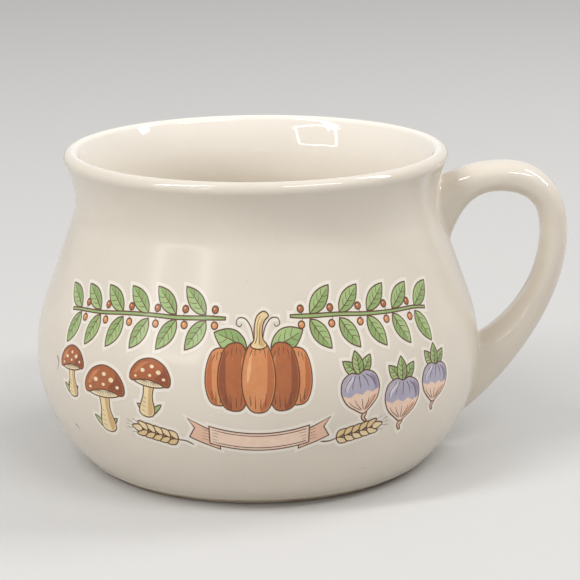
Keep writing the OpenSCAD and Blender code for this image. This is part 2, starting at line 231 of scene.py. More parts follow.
RIM_R = 54
BOWL_H = 89.2
NECK_R = 51.05
NECK_Z = BOWL_H - 13.7
HOLLOW_R = 15.5
BELLY_R = 63.2
BELLY_Z = 31.7
SHOULDER_R = 43.4
HIP_R = 40.2
WALL = 4.3
FLOOR_Z = 6.6
FLOOR_CURVE_R = 12
FOOT_EDGE_R = 1.6
FOOT_RING_W = 3.2
RECESS_H = 2
GLAZE_T = 0.3
LIP_R = WALL / 2
LIP_C = Vector((RIM_R - LIP_R, BOWL_H - LIP_R))
FLARE_R = ((RIM_R - NECK_R) ** 2 + (LIP_C.y - NECK_Z) ** 2) / (2 * (RIM_R - NECK_R)) - LIP_R
FLARE_C = Vector((NECK_R + FLARE_R, NECK_Z))
HOLLOW_C = Vector((NECK_R + HOLLOW_R, NECK_Z))
SHOULDER_C = Vector((BELLY_R - SHOULDER_R, BELLY_Z))
HIP_C = Vector((BELLY_R - HIP_R, BELLY_Z))
LIP_A = math.degrees(math.atan2(LIP_C.y - NECK_Z, FLARE_C.x - LIP_C.x))
SLOPE = HOLLOW_C - SHOULDER_C
SLOPE_A = math.degrees(math.atan2(SLOPE.y, SLOPE.x) - math.acos((SHOULDER_R + HOLLOW_R) / SLOPE.length))
CURVE_RISE = BELLY_Z - FLOOR_Z - FLOOR_CURVE_R
CURVE_RUN = math.sqrt((HIP_R - WALL - FLOOR_CURVE_R) ** 2 - CURVE_RISE ** 2)
CURVE_C = Vector((HIP_C.x + CURVE_RUN, BELLY_Z - CURVE_RISE))
CURVE_A = math.degrees(math.atan2(CURVE_RISE, CURVE_RUN))
ROUND_STEPS = 240
WALL_STEP = 2.0
HOLLOW_STEP = 1.5
FLOOR_STEP = 4
EDGE_STEP = 5
LIP_STEP = 7
WELD = 0.002 * MM
SHARP_DEGREES = 40
CLAY_SPECULAR = 0.25
CLAY_DARK = (0.52, 0.42, 0.31, 1)
CLAY_LIGHT = (0.78, 0.69, 0.56, 1)
CLAY_TINT_AT = (0.3, 0.72)
CLAY_GRAIN = (1300, 4)
CLAY_PATCHES = (70, 3)
GRAIN_SHARE = 0.45
CLAY_ROUGHNESS = (0.7, 0.95)
GRAIN_H = 0.00006
RECESS_CORNER = (0.6, 0.2)
RING_CORNER = (0.5, 0.3)


def arc(centre, radius, start, end, step=WALL_STEP):
    """Points along an arc, from one angle in degrees to another, about step degrees apart."""
    count = max(2, round(abs(end - start) / step))
    angles = [math.radians(start + (end - start) * k / count) for k in range(count + 1)]
    return [Vector((centre.x + radius * math.cos(a), centre.y + radius * math.sin(a))) for a in angles]


def foot_edge_centre(inset):
    reach = math.sqrt((HIP_R - inset - FOOT_EDGE_R) ** 2 - (BELLY_Z - FOOT_EDGE_R) ** 2)
    return Vector((HIP_C.x + reach, FOOT_EDGE_R))


def foot_edge_angle(inset):
    return math.degrees(math.atan2(BELLY_Z - FOOT_EDGE_R, foot_edge_centre(inset).x - HIP_C.x))


def upper_outline(inset):
    """Belly's widest part up to the start of the lip, moved into the wall by inset."""
    return (arc(SHOULDER_C, SHOULDER_R - inset, 0, SLOPE_A)[1:]
            + arc(HOLLOW_C, HOLLOW_R + inset, 180 + SLOPE_A, 180, HOLLOW_STEP)
            + arc(FLARE_C, FLARE_R + inset, 180, 180 - LIP_A, HOLLOW_STEP)[1:])


def outer_outline(inset):
    """Foot to the crown of the lip."""
    return (arc(foot_edge_centre(inset), FOOT_EDGE_R, -90, -foot_edge_angle(inset), EDGE_STEP)
            + arc(HIP_C, HIP_R - inset, -foot_edge_angle(inset), 0)[1:]
            + upper_outline(inset)
            + arc(LIP_C, LIP_R - inset, -LIP_A, 90, LIP_STEP)[1:])


def inner_outline(growth):
    """Middle of the floor to the crown of the lip, moved into the wall by growth."""
    return ([Vector((0, FLOOR_Z - growth))]
            + arc(CURVE_C, FLOOR_CURVE_R + growth, -90, -CURVE_A, FLOOR_STEP)
            + arc(HIP_C, HIP_R - WALL + growth, -CURVE_A, 0)[1:]
            + upper_outline(WALL - growth)
            + arc(LIP_C, LIP_R - growth, 180 - LIP_A, 90, LIP_STEP)[1:])


def finish_piece(name, bm, sharp_degrees=SHARP_DEGREES):
    """Smooth-shaded object from a bmesh, with creases kept sharp."""
    for face in bm.faces:
        face.smooth = True
    for edge in bm.edges:
        if len(edge.link_faces) == 2 and edge.calc_face_angle(0) > math.radians(sharp_degrees):
            edge.smooth = False
    mesh = bpy.data.meshes.new(name)
    bm.to_mesh(mesh)
    bm.free()
    piece = bpy.data.objects.new(name, mesh)
    bpy.context.scene.collection.objects.link(piece)
    return piece


def turn_on_wheel(name, outline, closed=True):
    """Solid of revolution about the bowl's axis from an outline in millimetres, as a throwing wheel makes it."""
    bm = bmesh.new()
    points = [bm.verts.new((p.x * MM, 0, p.y * MM)) for p in outline]
    pairs = list(zip(points, points[1:]))
    if closed:
        pairs.append((points[-1], points[0]))
    edges = [bm.edges.new(pair) for pair in pairs]
    bmesh.ops.spin(bm, geom=points + edges, cent=(0, 0, 0), axis=(0, 0, 1), angle=2 * math.pi,
                   steps=ROUND_STEPS, use_merge=True)
    bmesh.ops.remove_doubles(bm, verts=bm.verts, dist=WELD)
    bmesh.ops.recalc_face_normals(bm, faces=bm.faces)
    return finish_piece(name, bm)


def fix_to_bowl(piece, slot, *nodes):
    """The piece rides with the bowl and stands for the nodes, which are hidden; slot is not used."""
    if nodes:
        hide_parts(*nodes)
    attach(piece, "root")


def fired_clay():
    """Bare buff earthenware: dry and finely grainy, in slow patches of a darker and a lighter shade."""
    material, tree, shader = new_material("fired_clay", CLAY_SPECULAR)
    grain = mottle(tree, *CLAY_GRAIN)
    patches = work_out(tree, "MULTIPLY", mottle(tree, *CLAY_PATCHES), 1 - GRAIN_SHARE)
    shade = work_out(tree, "ADD", work_out(tree, "MULTIPLY", grain, GRAIN_SHARE), patches)
    tint = add(tree, "ValToRGB")
    for stop, place, colour in zip(tint.color_ramp.elements, CLAY_TINT_AT, (CLAY_DARK, CLAY_LIGHT)):
        stop.position = place
        stop.color = colour
    feed(tree, shade, tint.inputs["Fac"])
    feed(tree, tint.outputs["Color"], shader.inputs["Base Color"])
    feed(tree, remap(tree, grain, 0, 1, *CLAY_ROUGHNESS), shader.inputs["Roughness"])
    raise_surface(tree, shader, grain, GRAIN_H)
    return material


clay = fired_clay()
ring_in_r = foot_edge_centre(GLAZE_T).x - FOOT_RING_W
recess = [Vector((0, RECESS_H)),
          Vector((ring_in_r - RECESS_H - RECESS_CORNER[0], RECESS_H)),
          Vector((ring_in_r - RECESS_H, RECESS_H - RECESS_CORNER[1])),
          Vector((ring_in_r - RING_CORNER[0], RING_CORNER[1])),
          Vector((ring_in_r, 0))]
bowl_clay = turn_on_wheel("bowl_clay", recess + outer_outline(GLAZE_T)
                          + inner_outline(GLAZE_T)[::-1][1:], closed=False)
bowl_clay.data.materials.append(clay)
fix_to_bowl(bowl_clay, "bare_clay", "bowl_body")

# Glaze on the bowl
# A warm cream gloss glaze with faint ripples, specks and pinholes, poured inside and dipped outside in one coat.
# It stops in a soft roll above the foot. Inside, its colour is painted paler as painted light, and it is more
# rippled; there and on the lip it is glossier.

GLAZE_STOP_Z = 1.9
STOP_ROLL = [(0.02, -0.05), (0.14, -0.11)]
STOP_FACE = (-0.02, -0.12)
STOP_GAP = 0.1
CREAM = (0.725, 0.66, 0.567, 1)
CREAM_POOLED = (0.70, 0.632, 0.538, 1)
# Paler copy of the cream for the inside of the bowl: painted light, not a different glaze.
CREAM_INSIDE_PAINTED_LIGHT = (0.885, 0.83, 0.745, 1)
SPECK_BROWN = (0.30, 0.20, 0.12, 1)
GLAZE_IOR = 1.54
GLAZE_SPECULAR = 0.5
BOWL_RIPPLE = 0.00012
INSIDE_RIPPLE = 0.0002
BELLY_SATIN = 0.19
POLISH = -0.17
POLISHED_FROM_Z = 0.080
POLISHED_FULL_Z = 0.087
OVER_THE_LIP = 0.012
CLOUDS = (38, 3, 0.4)
CLOUDS_SPREAD = (0.35, 0.68)
SPECKS = (1500, 1)
SPECKS_SPREAD = (0.745, 0.80)
SPECK_TINT = 0.3
PINHOLE_SCALE = 120
PINHOLE_EDGE = (0.045, 0.02)
PINHOLE_CHOICE = (0.955, 0.96)
PINHOLE_TINT = 0.6
PINHOLE_DEPTH = -0.00005
DULL_PATCHES = (90, 4)
DULL_SPREAD = (0.3, 0.75)
DULLEST = 0.04
RIPPLES = (75, 2, 0.3)
PEEL = (420, 2)
PEEL_H = 0.0000022


def blend(tree, amount, first, second):
    """Colour that goes from the first to the second with the amount."""
    node = add(tree, "Mix")
    node.data_type = "RGBA"
    feed(tree, amount, node.inputs["Factor"])
    feed(tree, first, node.inputs["A"])
    feed(tree, second, node.inputs["B"])
    return node.outputs["Result"]


def start_group(name, inputs, outputs):
    """Node group whose named inputs and outputs are each a Color or a Float."""
    group = bpy.data.node_groups.new(name, "ShaderNodeTree")
    for in_out, sockets in (("INPUT", inputs), ("OUTPUT", outputs)):
        for socket, kind in sockets.items():
            group.interface.new_socket(name=socket, in_out=in_out, socket_type="NodeSocket" + kind)
    return group, group.nodes.new("NodeGroupInput").outputs, group.nodes.new("NodeGroupOutput").inputs


def glaze_depth_group():
    """Colour, gloss and surface of a fired glaze: slow shade changes, specks, pinholes and ripples."""
    tree, given, made = start_group(
        "glaze_depth",
        {"Thin": "Color", "Pooled": "Color", "Speck": "Color", "Ripple": "Float", "Satin": "Float"},
        {"Colour": "Color", "Roughness": "Float", "Height": "Float"})
    shade = blend(tree, remap(tree, mottle(tree, *CLOUDS), *CLOUDS_SPREAD), given["Thin"], given["Pooled"])
    specks = remap(tree, mottle(tree, *SPECKS), *SPECKS_SPREAD, 0, SPECK_TINT)
    shade = blend(tree, specks, shade, given["Speck"])
    where = add(tree, "TexCoord")
    cells = add(tree, "TexVoronoi")
    cells.inputs["Scale"].default_value = PINHOLE_SCALE
    feed(tree, where.outputs["Object"], cells.inputs["Vector"])
    number = add(tree, "SeparateColor")
    feed(tree, cells.outputs["Color"], number.inputs["Color"])
    pinhole = work_out(tree, "MULTIPLY", remap(tree, cells.outputs["Distance"], *PINHOLE_EDGE),
                       remap(tree, number.outputs["Red"], *PINHOLE_CHOICE))
    shade = blend(tree, work_out(tree, "MULTIPLY", pinhole, PINHOLE_TINT), shade, given["Speck"])
    feed(tree, shade, made["Colour"])
    dull = remap(tree, mottle(tree, *DULL_PATCHES), *DULL_SPREAD, 0, DULLEST)
    feed(tree, work_out(tree, "ADD", dull, given["Satin"]), made["Roughness"])
    height = work_out(tree, "MULTIPLY", mottle(tree, *RIPPLES), given["Ripple"])
    height = work_out(tree, "ADD", height, remap(tree, mottle(tree, *PEEL), 0, 1, 0, PEEL_H))
    height = work_out(tree, "ADD", height, work_out(tree, "MULTIPLY", pinhole, PINHOLE_DEPTH))
    feed(tree, height, made["Height"])
    return tree


glaze_depth = glaze_depth_group()


def start_glaze(name, thin, pooled, ripple, satin):
    """Gloss glaze material; the group's shades are set on it, and its outputs drive the shader."""
    material, tree, gloss = new_material(name, GLAZE_SPECULAR)
    gloss.inputs["IOR"].default_value = GLAZE_IOR
    depth = add(tree, "Group")
    depth.node_tree = glaze_depth
    settings = {"Thin": thin, "Pooled": pooled, "Speck": SPECK_BROWN, "Ripple": ripple, "Satin": satin}
    for socket, value in settings.items():
        depth.inputs[socket].default_value = value
    feed(tree, depth.outputs["Colour"], gloss.inputs["Base Color"])
    feed(tree, depth.outputs["Roughness"], gloss.inputs["Roughness"])
    raise_surface(tree, gloss, depth.outputs["Height"], 1)
    return material


def bowl_glaze():
    """Cream glaze painted paler inside the bowl as painted light, more rippled there, and sharper in gloss there and
    on the lip.
    """
    material = start_glaze("bowl_glaze", CREAM, CREAM_POOLED, BOWL_RIPPLE, BELLY_SATIN)
    tree = material.node_tree
    gloss = tree.nodes["Principled BSDF"]
    where = add(tree, "TexCoord")
    from_axis = add(tree, "VectorMath")
    from_axis.operation = "MULTIPLY"
    from_axis.inputs[1].default_value = (1, 1, 0)
    feed(tree, where.outputs["Object"], from_axis.inputs[0])
    facing = add(tree, "NewGeometry")
    outward = add(tree, "VectorMath")
    outward.operation = "DOT_PRODUCT"
    feed(tree, from_axis.outputs["Vector"], outward.inputs[0])
    feed(tree, facing.outputs["True Normal"], outward.inputs[1])
    inside = remap(tree, outward.outputs["Value"], OVER_THE_LIP, -OVER_THE_LIP)
    shade = gloss.inputs["Base Color"].links[0].from_socket
    ripple = remap(tree, inside, 0, 1, BOWL_RIPPLE, INSIDE_RIPPLE)
    feed(tree, ripple, shade.node.inputs["Ripple"])
    # Painted light: the inside is blended to the paler, lit copy of the cream.
    feed(tree, blend(tree, inside, shade, CREAM_INSIDE_PAINTED_LIGHT), gloss.inputs["Base Color"])
    split = add(tree, "SeparateXYZ")
    feed(tree, where.outputs["Object"], split.inputs["Vector"])
    lip = remap(tree, split.outputs["Z"], POLISHED_FROM_Z, POLISHED_FULL_Z)
    polish = work_out(tree, "MULTIPLY", work_out(tree, "MAXIMUM", inside, lip), POLISH)
    satin = gloss.inputs["Roughness"].links[0].from_socket
    feed(tree, work_out(tree, "ADD", polish, satin), gloss.inputs["Roughness"])
    return material


outside = [p for p in outer_outline(0) if p.y > GLAZE_STOP_Z + STOP_GAP]
against_clay = [p for p in outer_outline(GLAZE_T) if p.y > GLAZE_STOP_Z]
stop_roll = [against_clay[0] + Vector(p) for p in STOP_ROLL] + [outside[0] + Vector(STOP_FACE)]
glazed_bowl = turn_on_wheel("glazed_bowl", stop_roll + outside + inner_outline(0)[::-1][1:]
                            + inner_outline(GLAZE_T) + against_clay[::-1][1:])
glazed_bowl.data.materials.append(bowl_glaze())
fix_to_bowl(glazed_bowl, "outside_glaze", "outside_glaze", "inside_glaze")

base_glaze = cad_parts["base_glaze"]
base_glaze.data.materials.clear()
base_glaze.data.materials.append(start_glaze("base_glaze", CREAM, CREAM_POOLED, BOWL_RIPPLE, BELLY_SATIN))

# Handle
# One flattened loop, pressed in its own mould, stuck to the waist and to the belly and glazed with the bowl.
# Its outer and inner edges are smooth chains of curves; its section is a soft oval that widens at both roots.

CROWN_T = 8
SIDE_T = 7.1
HANDLE_W = 13.4
ROOT_W = 15.4
CROWN_X = BELLY_R + 6.8
SIDE_X = BELLY_R + 24.9
CROWN_Z = BOWL_H - 5.2
SIDE_Z = 63.3
HEEL_Z = 9.2
UPPER_ROOT_Z = 71.6
UPPER_ROOT_H = 18
LOWER_ROOT_Z = 22
LOWER_ROOT_H = 24
ROOT_TOP_Z = CROWN_Z - 0.6 * CROWN_T
ROOT_LOW_Z = UPPER_ROOT_Z - 0.73 * UPPER_ROOT_H
CROTCH_Z = LOWER_ROOT_Z + 0.43 * LOWER_ROOT_H
LOOP_H = SIDE_Z - HEEL_Z
OUTER_KNOTS = [
    ((NECK_R - 0.36 * WALL, ROOT_TOP_Z), 18, 0, 0.94 * CROWN_T),
    ((CROWN_X, CROWN_Z), 0, 1.1 * CROWN_T, 0.68 * (SIDE_X - CROWN_X)),
    ((SIDE_X, SIDE_Z), -90, 0.57 * (CROWN_Z - SIDE_Z), 0.43 * LOOP_H),
    ((BELLY_R - 1.6 * WALL, HEEL_Z), -148, 0.22 * LOOP_H, 0)]
INNER_KNOTS = [
    ((NECK_R + 0.57 * WALL, ROOT_LOW_Z), 72, 0, 1.12 * CROWN_T),
    ((CROWN_X - 0.16 * CROWN_T, CROWN_Z - CROWN_T), 0, 1.25 * CROWN_T, 0.7 * (SIDE_X - SIDE_T - CROWN_X)),
    ((SIDE_X - SIDE_T, SIDE_Z + 0.05 * SIDE_T), -90, 0.67 * (CROWN_Z - CROWN_T - SIDE_Z), 0.25 * LOOP_H),
    ((BELLY_R - 0.4 * WALL, CROTCH_Z), -152, 0.25 * LOOP_H, 0)]
LOOP_SPANS = len(OUTER_KNOTS) - 1
HANDLE_RINGS = 150
HANDLE_SIDES = 56
SECTION_FULLNESS = 0.86
ROOT_SWELL_POWER = 6
COAT_GAP = 0.02
HANDLE_RIPPLE = 0.00006
HANDLE_SATIN = 0.015


def ray(degrees):
    return Vector((math.cos(math.radians(degrees)), math.sin(math.radians(degrees))))


def on_edge(knots, u):
    """Point at place u on a chain of cubic curves whose knots are (place, tangent angle, reach back, reach on)."""
    n = min(int(u), len(knots) - 2)
    t = u - n
    (start, angle_a, _, reach_a), (end, angle_b, reach_b, _) = knots[n], knots[n + 1]
    p, s = Vector(start), Vector(end)
    q, r = p + reach_a * ray(angle_a), s - reach_b * ray(angle_b)
    return (1 - t) ** 3 * p + 3 * (1 - t) ** 2 * t * q + 3 * (1 - t) * t * t * r + t ** 3 * s


def bulge(v):
    return math.copysign(abs(v) ** SECTION_FULLNESS, v)


def handle_point(u, side, growth):
    """Point of the handle's face at place u along the loop and angle side round the section, in millimetres."""
    outer, inner = on_edge(OUTER_KNOTS, u), on_edge(INNER_KNOTS, u)
    middle, half = (outer + inner) / 2, (outer - inner) / 2
    grow = (half.length + growth) / half.length
    swell = abs(2 * u / LOOP_SPANS - 1) ** ROOT_SWELL_POWER
    width = (HANDLE_W + (ROOT_W - HANDLE_W) * swell) / 2
    place = middle + grow * bulge(math.cos(side)) * half
    return Vector((place.x, bulge(math.sin(side)) * (width + growth), place.y))


SECTION_ANGLES = [2 * math.pi * k / HANDLE_SIDES for k in range(HANDLE_SIDES)]


def draw_tube(bm, rings):
    """Tube drawn from ring to ring of points in millimetres; returns its two end loops."""
    ring = [bm.verts.new(p * MM) for p in rings[0]]
    first = edges = [bm.edges.new(pair) for pair in zip(ring, ring[1:] + ring[:1])]
    for points in rings[1:]:
        made = bmesh.ops.extrude_edge_only(bm, edges=edges)["geom"]
        fresh = {v for v in made if isinstance(v, bmesh.types.BMVert)}
        ring = [next(e.other_vert(v) for e in v.link_edges if e.other_vert(v) in fresh) for v in ring]
        for vert, point in zip(ring, points):
            vert.co = point * MM
        edges = [bm.edges.get(pair) for pair in zip(ring, ring[1:] + ring[:1])]
    return first, edges


def handle_skin(growth):
    stops = [LOOP_SPANS * n / (HANDLE_RINGS - 1) for n in range(HANDLE_RINGS)]
    return [[handle_point(u, a, growth) for a in SECTION_ANGLES] for u in stops]


bm = bmesh.new()
outer_ends = draw_tube(bm, handle_skin(GLAZE_T))
inner_ends = draw_tube(bm, handle_skin(COAT_GAP))
for outer_end, inner_end in zip(outer_ends, inner_ends):
    bmesh.ops.bridge_loops(bm, edges=outer_end + inner_end)
bmesh.ops.recalc_face_normals(bm, faces=bm.faces)
handle_coat = finish_piece("handle_coat", bm)
handle_coat.data.materials.append(
    start_glaze("handle_glaze", CREAM, CREAM_POOLED, HANDLE_RIPPLE, HANDLE_SATIN))
fix_to_bowl(handle_coat, "handle_glaze", "handle_glaze")
handle_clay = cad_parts["handle"]
handle_clay.data.materials.clear()
handle_clay.data.materials.append(clay)

# Slip fillets at the handle's roots
# The handle is stuck on with liquid clay, wiped to a small fillet all round each root and glazed over.
# Each fillet runs from a line on the handle to a line on the bowl, a millimetre or so either side of the seam.

FILLET_REACH = 1.4
FILLET_STEPS = 9
FILLET_SHARP_DEGREES = 60
FILLET_SINK = 0.03
FILLET_DEPTH = 0.5
FILLET_RIPPLE = 0.00004
FILLET_SATIN = 0.1
ALONG_STEP = 0.002
SEAM_HALVINGS = 40
UPPER_SEAM_SPAN = (0, 0.9)
LOWER_SEAM_SPAN = (LOOP_SPANS, 2.2)
SLOPE_TEST_H = 0.05
SLOPE_LOW = SHOULDER_C + SHOULDER_R * ray(SLOPE_A)
SLOPE_HIGH = HOLLOW_C - HOLLOW_R * ray(SLOPE_A)


def face_radius(z):
    """Radius of the glazed outside at height z, from the foot to the lip."""
    if z < BELLY_Z:
        return HIP_C.x + math.sqrt(HIP_R ** 2 - (BELLY_Z - z) ** 2)
    if z < SLOPE_LOW.y:
        return SHOULDER_C.x + math.sqrt(SHOULDER_R ** 2 - (z - BELLY_Z) ** 2)
    if z < SLOPE_HIGH.y:
        return SLOPE_LOW.x - (z - SLOPE_LOW.y) * math.tan(math.radians(SLOPE_A))
    if z < NECK_Z:
        return HOLLOW_C.x - math.sqrt(HOLLOW_R ** 2 - (NECK_Z - z) ** 2)
    return FLARE_C.x - math.sqrt(FLARE_R ** 2 - (z - NECK_Z) ** 2)


def face_normal(point):
    """Direction straight out of the glazed outside at a point on it."""
    above, below = face_radius(point.z + SLOPE_TEST_H), face_radius(point.z - SLOPE_TEST_H)
    out = Vector((point.x, point.y, 0)).normalized()
    return (out - Vector((0, 0, (above - below) / (2 * SLOPE_TEST_H)))).normalized()


def on_face(point):
    """The same turn and height, moved onto the glazed outside."""
    out = Vector((point.x, point.y, 0)).normalized()
    return out * face_radius(point.z) + Vector((0, 0, point.z))


def seam_place(side, start, end):
    """Place along the loop where one side line of the handle meets the bowl, from start inside to end outside."""
    for _ in range(SEAM_HALVINGS):
        middle = (start + end) / 2
        point = handle_point(middle, side, GLAZE_T)
        if math.hypot(point.x, point.y) < face_radius(point.z):
            start = middle
        else:
            end = middle
    return end


def lay_fillet(name, node, start, end):
    """Ring of slip round one root; start and end bracket the seam along the loop."""
    seams = [seam_place(a, start, end) for a in SECTION_ANGLES]
    corners = [on_face(handle_point(u, a, GLAZE_T)) for u, a in zip(seams, SECTION_ANGLES)]
    centre = sum(corners, Vector()) / len(corners)
    onward = math.copysign(ALONG_STEP, end - start)
    rows = []
    for k, (u, angle, corner) in enumerate(zip(seams, SECTION_ANGLES, corners)):
        while (handle_point(u, angle, GLAZE_T) - corner).length < FILLET_REACH:
            u += onward
        on_handle = handle_point(u, angle, GLAZE_T)
        normal = face_normal(corner)
        along = corners[(k + 1) % len(corners)] - corners[k - 1]
        away = normal.cross(along).normalized()
        if away.dot(corner - centre) < 0:
            away = -away
        on_bowl = on_face(corner + FILLET_REACH * away)
        shares = [step / FILLET_STEPS for step in range(FILLET_STEPS + 1)]
        row = [(1 - t) ** 2 * on_handle + 2 * (1 - t) * t * corner + t * t * on_bowl for t in shares]
        row[0] = on_handle - FILLET_SINK * (on_handle - handle_point(u, angle, 0)).normalized()
        row[-1] = on_bowl - FILLET_SINK * face_normal(on_bowl)
        rows.append(row + [corner - FILLET_DEPTH * normal])
    bm = bmesh.new()
    start_loop, end_loop = draw_tube(bm, rows)
    bmesh.ops.bridge_loops(bm, edges=start_loop + end_loop)
    bmesh.ops.recalc_face_normals(bm, faces=bm.faces)
    fillet = finish_piece(name, bm, FILLET_SHARP_DEGREES)
    fillet.data.materials.append(fillet_glaze)
    fix_to_bowl(fillet, "slip", node)


fillet_glaze = start_glaze("fillet_glaze", CREAM_POOLED, CREAM, FILLET_RIPPLE, FILLET_SATIN)
lay_fillet("upper_slip_fillet", "upper_slip_joint", *UPPER_SEAM_SPAN)
lay_fillet("lower_slip_fillet", "lower_slip_joint", *LOWER_SEAM_SPAN)

# Fired transfer
# The picture is screen-printed on a cream cover film, each colour a thin film of its own over a brown keyline film,
# and floated onto the glaze and fired in. It is drawn flat, in millimetres, and then wrapped onto the belly.

PRINT_Z = 40
GRID = 1.2
GRID_MERGE = 0.0005
FILM_LIFT = 0.03
FILM_T = 0.01
RISE_STEP = 0.012
LEVEL_RISE = 2
KEY_RISE = 1
COLOUR_RISE = 2
TOUCH_RISE = 2.5
INK_RISE = 3
LINE_W = 0.34
HALO_W = 0.85
VEIN_W = 0.2
FINER_W = 0.22
FINE_W = 0.24
HATCH_W = 0.26
LINE_TIP_W = 0.1
BLUNT_CORNER = 0.62
FOLDED_BACK = 0.2
SAME_PLACE = 1e-6
STROKE_START = 0.45
STROKE_SWELL = 4
PRINT_SATIN = 0.2
INK_CLOUDS = (420, 3)
INK_CLOUDS_SPREAD = (0.35, 0.75, 0, 0.3)
INK_MISSES = (2600, 2)
INK_MISSES_SPREAD = (0.66, 0.76, 0, 0.22)
INKS = {
    "cover_coat": ((0.825, 0.765, 0.675), (0.80, 0.735, 0.64), (0.84, 0.79, 0.70)),
    "brown": ((0.115, 0.046, 0.018), (0.075, 0.030, 0.012), (0.19, 0.085, 0.036)),
    "green": ((0.34, 0.47, 0.185), (0.215, 0.335, 0.105), (0.47, 0.60, 0.28)),
    "orange": ((0.63, 0.235, 0.085), (0.44, 0.125, 0.038), (0.80, 0.43, 0.20)),
    "rust": ((0.40, 0.115, 0.034), (0.25, 0.062, 0.018), (0.58, 0.22, 0.08)),
    "ochre": ((0.80, 0.62, 0.34), (0.58, 0.37, 0.15), (0.86, 0.74, 0.50)),
    "lilac": ((0.43, 0.40, 0.50), (0.27, 0.24, 0.34), (0.68, 0.65, 0.70)),
    "pink": ((0.83, 0.60, 0.46), (0.68, 0.38, 0.25), (0.87, 0.70, 0.57))}


def start_film():
    """Empty film; each of its faces has a tone, from -1, dark, to 1, light."""
    film = bmesh.new()
    film.faces.layers.float.new("tone")
    return film


films = {colour: start_film() for colour in INKS}


def turn_to_x(degrees):
    return math.radians(degrees) * BELLY_R


def curve(points, closed=False, steps=7):
    """Smooth line through the points, as a brush would draw it."""
    count = len(points)
    line = []
    for k in range(count if closed else count - 1):
        near = [(k + n) % count if closed else min(max(k + n, 0), count - 1) for n in (-1, 0, 1, 2)]
        a, b, c, d = (Vector(points[n]) for n in near)
        for step in range(steps):
            t = step / steps
            line.append(0.5 * (2 * b + (c - a) * t + (2 * a - 5 * b + 4 * c - d) * t * t
                               + (3 * b - a - 3 * c + d) * t ** 3))
    return line if closed else line + [Vector(points[-1])]


def shift(points, x, y, turn=0, size=1):
    """The points scaled, turned clockwise by degrees and moved to (x, y)."""
    c, s = ray(turn) * size
    return [Vector((x + p[0] * c + p[1] * s, y + p[1] * c - p[0] * s)) for p in points]


def blob(points, *place, steps=4):
    """Closed smooth outline through the points, put in its place: x, y, turn and size."""
    return shift(curve(points, closed=True, steps=steps), *place)


def sweep_line(points, *place):
    """Open smooth line through the points, put in its place."""
    return shift(curve(points, steps=3), *place)


def oval(x, y, half_w, half_h, count=28):
    ring = [2 * math.pi * k / count for k in range(count)]
    return [Vector((x + half_w * math.cos(a), y + half_h * math.sin(a))) for a in ring]


def area_of(outline):
    return sum(p.x * q.y - q.x * p.y for p, q in zip(outline, outline[1:] + outline[:1])) / 2


def grow(outline, by):
    """The closed outline moved outwards, with its sharp corners kept short."""
    sign = 1 if area_of(outline) > 0 else -1
    grown = []
    for before, point, after in zip(outline[-1:] + outline[:-1], outline, outline[1:] + outline[:1]):
        behind, ahead = point - before, after - point
        if behind.length < SAME_PLACE or ahead.length < SAME_PLACE:
            continue
        out_behind = Vector((behind.y, -behind.x)).normalized() * sign
        out_ahead = Vector((ahead.y, -ahead.x)).normalized() * sign
        out = out_behind + out_ahead
        if out.length < FOLDED_BACK:
            out += behind.normalized() * 0.5
        out.normalize()
        grown.append(point + out * by / max(out.dot(out_behind), BLUNT_CORNER))
    return grown


def stroke(line, width, end_width):
    """Outline of a brush stroke along the line, which swells from its start and tapers to its end."""
    left, right = [], []
    for k, point in enumerate(line):
        ahead = line[min(k + 1, len(line) - 1)] - line[max(k - 1, 0)]
        across = Vector((-ahead.y, ahead.x)).normalized()
        t = k / (len(line) - 1)
        half = (width + (end_width - width) * t) / 2 * min(1, STROKE_START + STROKE_SWELL * t)
        left.append(point + across * half)
        right.append(point - across * half)
    return left + right[::-1]


def print_plate(film, outline, rise, tone=0):
    """One flat print, cut on a grid so that it can follow the bowl, given its thickness and wrapped on the glaze."""
    flat = bmesh.new()
    face = flat.faces.new([flat.verts.new((p.x, p.y, 0)) for p in outline])
    if area_of(outline) < 0:
        bmesh.ops.reverse_faces(flat, faces=[face])
    bmesh.ops.triangulate(flat, faces=flat.faces)
    for axis in (0, 1):
        across = Vector((1 - axis, axis, 0))
        low, high = min(p[axis] for p in outline), max(p[axis] for p in outline)
        for n in range(math.ceil(low / GRID), math.floor(high / GRID) + 1):
            bmesh.ops.bisect_plane(flat, geom=flat.verts[:] + flat.edges[:] + flat.faces[:],
                                   dist=GRID_MERGE, plane_co=across * n * GRID, plane_no=across)
    made = bmesh.ops.extrude_face_region(flat, geom=flat.faces[:])["geom"]
    lid = {v for v in made if isinstance(v, bmesh.types.BMVert)}
    tones = film.faces.layers.float["tone"]
    wrapped = {}
    for vert in flat.verts:
        turn = vert.co.x / BELLY_R
        z = PRINT_Z + vert.co.y
        reach = face_radius(z) + FILM_LIFT + rise * RISE_STEP + (0 if vert in lid else -FILM_T)
        wrapped[vert] = film.verts.new((reach * math.sin(turn) * MM, -reach * math.cos(turn) * MM, z * MM))
    for face in flat.faces:
        film.faces.new([wrapped[v] for v in face.verts])[tones] = tone
    flat.free()


def lay(colour, outline, level, tone=0, rise=COLOUR_RISE):
    """Colour at a level of the picture."""
    print_plate(films[colour], outline, LEVEL_RISE * level + rise, tone)


def touch(colour, outline, level, tone):
    """Darker or lighter touch over a level's colour."""
    lay(colour, outline, level, tone, TOUCH_RISE)


def key(outline, level):
    """Brown a line's width wider than the outline, and the cover coat under it."""
    lay("brown", grow(outline, LINE_W), level, rise=KEY_RISE)
    lay("cover_coat", grow(outline, LINE_W + HALO_W), 0, rise=0)


def ink(line, level, width, end_width=LINE_TIP_W):
    """Brown line drawn over the colours of a level."""
    lay("brown", stroke(line, width, end_width), level, rise=INK_RISE)


def paint(colour, outline, level, tone=0):
    key(outline, level)
    lay(colour, outline, level, tone)


